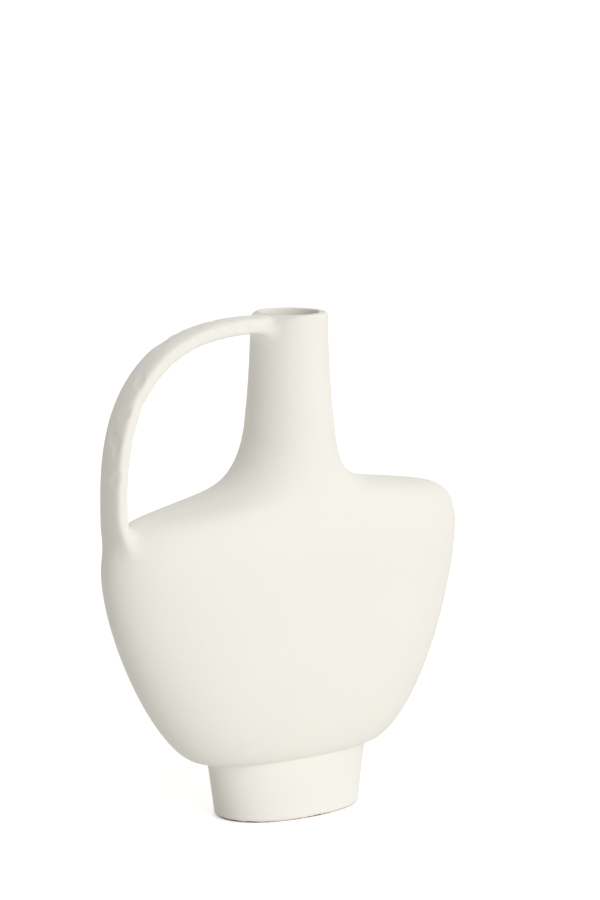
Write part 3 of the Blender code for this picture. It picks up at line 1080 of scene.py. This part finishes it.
def rolled_slab():
    slab = bmesh.new()
    points, edges, turn = start_ring(slab, RING_POINTS // 2)
    wall_inset = FOOT_WALL + FOOT_EDGE_RADIUS + JOINT_GAP
    underside = edges
    for number, (height, inset) in enumerate(SLAB_PROFILE):
        if number > 0:
            points, edges, _ = new_ring(slab, edges)
        share = height / FOOT_HEIGHT
        cut = Section(
            height,
            mix(FOOT_HALF_WIDTH, FOOT_TOP_HALF_WIDTH, share),
            mix(FOOT_HALF_DEPTH, FOOT_TOP_HALF_DEPTH, share),
            0.0,
            FOOT_FLATNESS,
        )
        for point in points:
            point.co = ring_point(narrowed(cut, wall_inset + inset), point[turn])
    bmesh.ops.holes_fill(slab, edges=underside + edges)
    bmesh.ops.recalc_face_normals(slab, faces=slab.faces)
    return slab


rolled_base = as_object("rolled_base", rolled_slab(), "base_slab")

# %% [markdown]
# ## Matte white slip
#
# The coat is a dipped slip, fired matte. It is an off-white, faintly warmer where it lies thin,
# with a grain as fine as flour and the faint pull of a sponge. At the very bottom the potter
# wipes it off, so the bare clay shows as a thin brown line with a few dark iron spots. That line
# is darker on the handle's side and at one small spot in front. A painted image
# would need a flat map of the vase and would end at the joints. All of this is noise on Object
# coordinates instead, so it runs on from part to part.

# %% Node helpers
def new_finish(name):
    finish = bpy.data.materials.new(name)
    finish.use_nodes = True
    tree = finish.node_tree
    return finish, tree, tree.nodes["Principled BSDF"]


def add_noise(tree, places, size, detail=3.0, roughness=0.5):
    """A noise whose blotches are about this many metres wide."""
    node = tree.nodes.new("ShaderNodeTexNoise")
    node.inputs["Scale"].default_value = 1.0 / size
    node.inputs["Detail"].default_value = detail
    node.inputs["Roughness"].default_value = roughness
    tree.links.new(places, node.inputs["Vector"])
    return node.outputs["Fac"]


def add_range(tree, value, low, high, to_low=0.0, to_high=1.0):
    node = tree.nodes.new("ShaderNodeMapRange")
    node.inputs["From Min"].default_value = low
    node.inputs["From Max"].default_value = high
    node.inputs["To Min"].default_value = to_low
    node.inputs["To Max"].default_value = to_high
    tree.links.new(value, node.inputs["Value"])
    return node.outputs["Result"]


def feed(tree, socket, value):
    """Sets a socket to a value, or links it to the socket that the value comes from."""
    if isinstance(value, bpy.types.NodeSocket):
        tree.links.new(value, socket)
    else:
        socket.default_value = value


def add_colour_mix(tree, share, first, second):
    node = tree.nodes.new("ShaderNodeMix")
    node.data_type = "RGBA"
    feed(tree, node.inputs["Factor"], share)
    feed(tree, node.inputs[6], first)
    feed(tree, node.inputs[7], second)
    return node.outputs[2]


def add_math(tree, operation, *values):
    node = tree.nodes.new("ShaderNodeMath")
    node.operation = operation
    for socket, value in zip(node.inputs, values):
        feed(tree, socket, value)
    return node.outputs[0]


def add_vector_math(tree, operation, places, other):
    """A number made of two vectors, such as their distance."""
    node = tree.nodes.new("ShaderNodeVectorMath")
    node.operation = operation
    feed(tree, node.inputs[0], places)
    feed(tree, node.inputs[1], other)
    return node.outputs["Value"]


def add_bump(tree, height, strength, depth, before=None):
    node = tree.nodes.new("ShaderNodeBump")
    node.inputs["Strength"].default_value = strength
    node.inputs["Distance"].default_value = depth
    tree.links.new(height, node.inputs["Height"])
    if before is not None:
        tree.links.new(before, node.inputs["Normal"])
    return node.outputs["Normal"]


# %% Colours of slip and clay
SLIP_WHITE = (0.907, 0.894, 0.850, 1.0)
SLIP_COOL = (0.890, 0.887, 0.848, 1.0)
CLAY_BROWN = (0.42, 0.22, 0.12, 1.0)
CLAY_PALE = (0.52, 0.30, 0.18, 1.0)
# a darker brown for the bare edge on the handle's side and at one spot in front
CLAY_DARKENED = (0.16, 0.095, 0.06, 1.0)
IRON_SPOT = (0.06, 0.045, 0.035, 1.0)


def spotted_clay(tree, tone, spots):
    """Clay from brown to pale as the tone says, with iron where the spots are."""
    return add_colour_mix(tree, spots, add_colour_mix(tree, tone, CLAY_BROWN, CLAY_PALE), IRON_SPOT)


# %% Where the slip is wiped off
WIPED_HEIGHT = 0.0008
WIPED_MORE = 0.0005  # how much higher the line lies where it is darkened
WIPED_EDGE = 0.0001
WIPED_WAVER = 0.0010
WIPED_WAVER_SIZE = 0.009
DARKENED_FROM = -0.030  # the darkened side, from here on along X
DARKENED_FULLY = -0.046
DARK_SPOT_PLACE = (0.0, -0.0285, 0.0)
DARK_SPOT_SIZE = 0.0036
DARK_SPOT_CORE = 0.7  # the share of the spot that is fully darkened


def darkened_places(tree, places, sideways):
    """1 where the bare edge is darkened: on the handle's side and at one spot in front."""
    handle_side = add_range(tree, sideways, DARKENED_FROM, DARKENED_FULLY)
    from_dark_spot = add_vector_math(tree, "DISTANCE", places, DARK_SPOT_PLACE)
    dark_spot = add_range(tree, from_dark_spot, DARK_SPOT_SIZE, DARK_SPOT_SIZE * DARK_SPOT_CORE)
    return add_math(tree, "MAXIMUM", handle_side, dark_spot)


def wiped_places(tree, places, height, darkened):
    """1 under a ragged line along the foot's edge, and 0 above it."""
    ragged = add_noise(tree, places, WIPED_WAVER_SIZE, detail=4.0)
    waver = add_range(tree, ragged, 0.3, 0.7, -WIPED_WAVER / 2, WIPED_WAVER / 2)
    wavered = add_math(tree, "ADD", height, waver)
    lowered = add_math(tree, "MULTIPLY_ADD", darkened, -WIPED_MORE, wavered)
    return add_range(tree, lowered, WIPED_HEIGHT + WIPED_EDGE, WIPED_HEIGHT - WIPED_EDGE)


# %% Mix the slip
BLOTCH_SIZE = 0.045
EDGE_TONE_SIZE = 0.012
EDGE_SPOT_SIZE = 0.005
GRAIN_SIZE = 0.0009
GRAIN_DEPTH = 0.00005
SPONGE_SIZE = 0.0065
SPONGE_DEPTH = 0.0002
SLIP_ROUGHNESS = (0.58, 0.74)
SLIP_GLOSS = 0.30


def mixed_slip():
    finish, tree, shader = new_finish("white_slip")
    places = tree.nodes.new("ShaderNodeTexCoord").outputs["Object"]
    split = tree.nodes.new("ShaderNodeSeparateXYZ")
    tree.links.new(places, split.inputs["Vector"])
    darkened = darkened_places(tree, places, split.outputs["X"])
    wiped = wiped_places(tree, places, split.outputs["Z"], darkened)

    blotch = add_noise(tree, places, BLOTCH_SIZE, detail=2.0)
    coat = add_colour_mix(tree, add_range(tree, blotch, 0.35, 0.65), SLIP_WHITE, SLIP_COOL)
    tone = add_range(tree, add_noise(tree, places, EDGE_TONE_SIZE), 0.4, 0.6)
    spots = add_range(tree, add_noise(tree, places, EDGE_SPOT_SIZE, detail=1.0), 0.66, 0.72)
    # the bare edge turns darker on the handle's side and at one spot in front
    edge = add_colour_mix(tree, darkened, spotted_clay(tree, tone, spots), CLAY_DARKENED)
    tree.links.new(add_colour_mix(tree, wiped, coat, edge), shader.inputs["Base Color"])

    grain = add_noise(tree, places, GRAIN_SIZE, detail=5.0, roughness=0.65)
    tree.links.new(add_range(tree, grain, 0.3, 0.7, *SLIP_ROUGHNESS), shader.inputs["Roughness"])
    sponge = add_noise(tree, places, SPONGE_SIZE, detail=3.0)
    sponge_marks = add_bump(tree, sponge, strength=0.25, depth=SPONGE_DEPTH)
    skin = add_bump(tree, grain, strength=0.30, depth=GRAIN_DEPTH, before=sponge_marks)
    tree.links.new(skin, shader.inputs["Normal"])
    shader.inputs["Specular IOR Level"].default_value = SLIP_GLOSS
    return finish


# %% Mix the bare clay
CLAY_TONE_SIZE = 0.014
CLAY_SPOT_SIZE = 0.0022
GRIT_SIZE = 0.0011
GRIT_DEPTH = 0.0002
CLAY_ROUGHNESS = 0.9
CLAY_GLOSS = 0.2


def bare_clay():
    finish, tree, shader = new_finish("bare_clay")
    places = tree.nodes.new("ShaderNodeTexCoord").outputs["Object"]
    tone = add_range(tree, add_noise(tree, places, CLAY_TONE_SIZE, detail=5.0), 0.35, 0.65)
    spots = add_range(tree, add_noise(tree, places, CLAY_SPOT_SIZE, detail=1.0), 0.70, 0.76)
    tree.links.new(spotted_clay(tree, tone, spots), shader.inputs["Base Color"])
    grit = add_noise(tree, places, GRIT_SIZE, detail=6.0, roughness=0.7)
    tree.links.new(add_bump(tree, grit, strength=0.6, depth=GRIT_DEPTH), shader.inputs["Normal"])
    shader.inputs["Roughness"].default_value = CLAY_ROUGHNESS
    shader.inputs["Specular IOR Level"].default_value = CLAY_GLOSS
    return finish


# %% Give each part its finish
slip = mixed_slip()
clay = bare_clay()
for piece in (foot_collar, *body_slabs, thrown_neck, strap_handle):
    piece.data.materials.append(slip)
rolled_base.data.materials.append(clay)
print("finishes:", slip.name, "and", clay.name)

# %% [markdown]
# ## The table and the camera
#
# The vase stands on a white table that fades into a white room. A lit backdrop could make the
# ground white, but the light for it would fall on the vase too. So the table glows a little for
# the camera alone, and keeps the shadow at the foot. The camera is a long way off with a long
# lens, which keeps the flat body flat.

# %% Show a white ground to the camera
def shown_as_white(tree):
    """1 for rays from the camera, and for those that gloss or glass sends on, and 0 for others."""
    rays = tree.nodes.new("ShaderNodeLightPath").outputs
    sent_on = add_math(tree, "MAXIMUM", rays["Is Glossy Ray"], rays["Is Transmission Ray"])
    return add_math(tree, "MAXIMUM", rays["Is Camera Ray"], sent_on)


def show_white(tree, lit, seen, output):
    """Shows the seen look to those rays, and lets the lit one light the vase."""
    choose = tree.nodes.new("ShaderNodeMixShader")
    for socket, value in zip(choose.inputs, (shown_as_white(tree), lit, seen)):
        tree.links.new(value, socket)
    tree.links.new(choose.outputs[0], tree.nodes[output].inputs["Surface"])


# %% The white table
TABLE_REACH = 14.0
TABLE_WHITE = (0.86, 0.86, 0.84, 1.0)
PAPER_WHITE = (0.9, 0.9, 0.9, 1.0)
TABLE_GLOW = 0.50


def white_table():
    mesh = bmesh.new()
    bmesh.ops.create_grid(mesh, x_segments=1, y_segments=1, size=TABLE_REACH)
    table = put_in_scene("table", mesh_data("table", mesh))
    finish, tree, shader = new_finish("table_white")
    shader.inputs["Base Color"].default_value = TABLE_WHITE
    shader.inputs["Roughness"].default_value = 1.0
    shader.inputs["Specular IOR Level"].default_value = 0.0
    seen = tree.nodes.new("ShaderNodeAddShader")
    paper = tree.nodes.new("ShaderNodeBsdfDiffuse")
    paper.inputs["Color"].default_value = PAPER_WHITE
    glow = tree.nodes.new("ShaderNodeEmission")
    glow.inputs["Strength"].default_value = TABLE_GLOW
    tree.links.new(paper.outputs[0], seen.inputs[0])
    tree.links.new(glow.outputs[0], seen.inputs[1])
    show_white(tree, shader.outputs[0], seen.outputs[0], "Material Output")
    table.data.materials.append(finish)
    table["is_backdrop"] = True
    return table


table = white_table()
print("table in metres:", [round(side, 1) for side in table.dimensions])

# %% The camera
PICTURE_HEIGHT = 900
CAMERA_TURN = 38.825
CAMERA_RISE = 10.563
CAMERA_DISTANCE = 2.1379
PIXELS_PER_METRE = 1678.0
TARGET = Vector((0.0, 0.0, TOTAL_HEIGHT / 2))
TARGET_PIXEL = (286.42, 561.62)
PICTURE_CENTRE = (300.0, 450.0)
SENSOR = 36.0


def direction_from(turn, rise):
    """The way to something this many degrees round from the front and this many up."""
    turn, rise = math.radians(turn), math.radians(rise)
    level = math.cos(rise)
    return Vector((-math.sin(turn) * level, -math.cos(turn) * level, math.sin(rise)))


def add_camera():
    data = bpy.data.cameras.new("camera")
    camera = put_in_scene("camera", data)
    back = direction_from(CAMERA_TURN, CAMERA_RISE)
    right = Vector((0.0, 0.0, 1.0)).cross(back).normalized()
    up = back.cross(right)
    camera.location = TARGET + back * CAMERA_DISTANCE
    aim = TARGET + right * (PICTURE_CENTRE[0] - TARGET_PIXEL[0]) / PIXELS_PER_METRE
    aim += up * (TARGET_PIXEL[1] - PICTURE_CENTRE[1]) / PIXELS_PER_METRE
    camera.rotation_euler = (aim - camera.location).to_track_quat("-Z", "Y").to_euler()
    data.sensor_width = SENSOR
    data.lens = SENSOR * PIXELS_PER_METRE * CAMERA_DISTANCE / PICTURE_HEIGHT
    bpy.context.scene.camera = camera
    return camera


camera = add_camera()
print("camera at", [round(c, 3) for c in camera.location], "lens", round(camera.data.lens, 1))

# %% [markdown]
# ## The light
#
# The light on the vase is soft. It comes from the camera's right, and the handle's side is
# darkest. Area lamps could give it, but their size, distance and strength all pull at each other.
# A sun with a wide angle is as soft and has only a strength, so two of them stand in for a window
# and a high lamp. The white room fills the rest, all but a dark card at the camera's left.

# %% The white room
ROOM_LIGHT = (0.775, 0.760, 0.714, 1.0)
ROOM_SEEN = (1.0, 1.0, 1.0, 1.0)
CARD_TURN = CAMERA_TURN + 45.0
CARD_RISE = 15.0
CARD_NARROWNESS = 2.0


def white_room():
    world = bpy.data.worlds.new("white_room")
    bpy.context.scene.world = world
    world.use_nodes = True
    tree = world.node_tree
    lit = tree.nodes["Background"]
    lit.inputs["Color"].default_value = ROOM_LIGHT
    places = tree.nodes.new("ShaderNodeTexCoord").outputs["Generated"]
    towards = add_vector_math(tree, "DOT_PRODUCT", places, direction_from(CARD_TURN, CARD_RISE))
    card = add_math(tree, "POWER", add_range(tree, towards, 0.0, 1.0), CARD_NARROWNESS)
    tree.links.new(add_range(tree, card, 0.0, 1.0, 1.0, 0.0), lit.inputs["Strength"])
    seen = tree.nodes.new("ShaderNodeBackground")
    seen.inputs["Color"].default_value = ROOM_SEEN
    show_white(tree, lit.outputs[0], seen.outputs[0], "World Output")
    return world


print("room:", white_room().name)

# %% The two soft lamps
LAMP_SOFTNESS = 35.0


def add_soft_lamp(name, turn, rise, strength, colour):
    """A broad lamp, this many degrees to the camera's right and this many up."""
    data = bpy.data.lights.new(name, "SUN")
    data.angle = math.radians(LAMP_SOFTNESS)
    data.energy = strength
    data.color = colour
    lamp = put_in_scene(name, data)
    shining = -direction_from(CAMERA_TURN - turn, rise)
    lamp.rotation_euler = shining.to_track_quat("-Z", "Y").to_euler()
    print(name, "is", turn, "degrees to the right and", rise, "up")


add_soft_lamp("window_lamp", turn=30.0, rise=12.0, strength=0.938, colour=(0.995, 0.98, 1.0))
add_soft_lamp("high_lamp", turn=30.0, rise=42.0, strength=0.387, colour=(1.0, 0.99, 0.98))
bpy.context.scene.view_settings.view_transform = "Standard"

# %% Sizes of the packed and the dressed vase
visual_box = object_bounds()
print("packed and dressed size in mm:")
for box in (cad_box, visual_box):
    print([round(c * 1000, 2) for corner in box for c in corner])
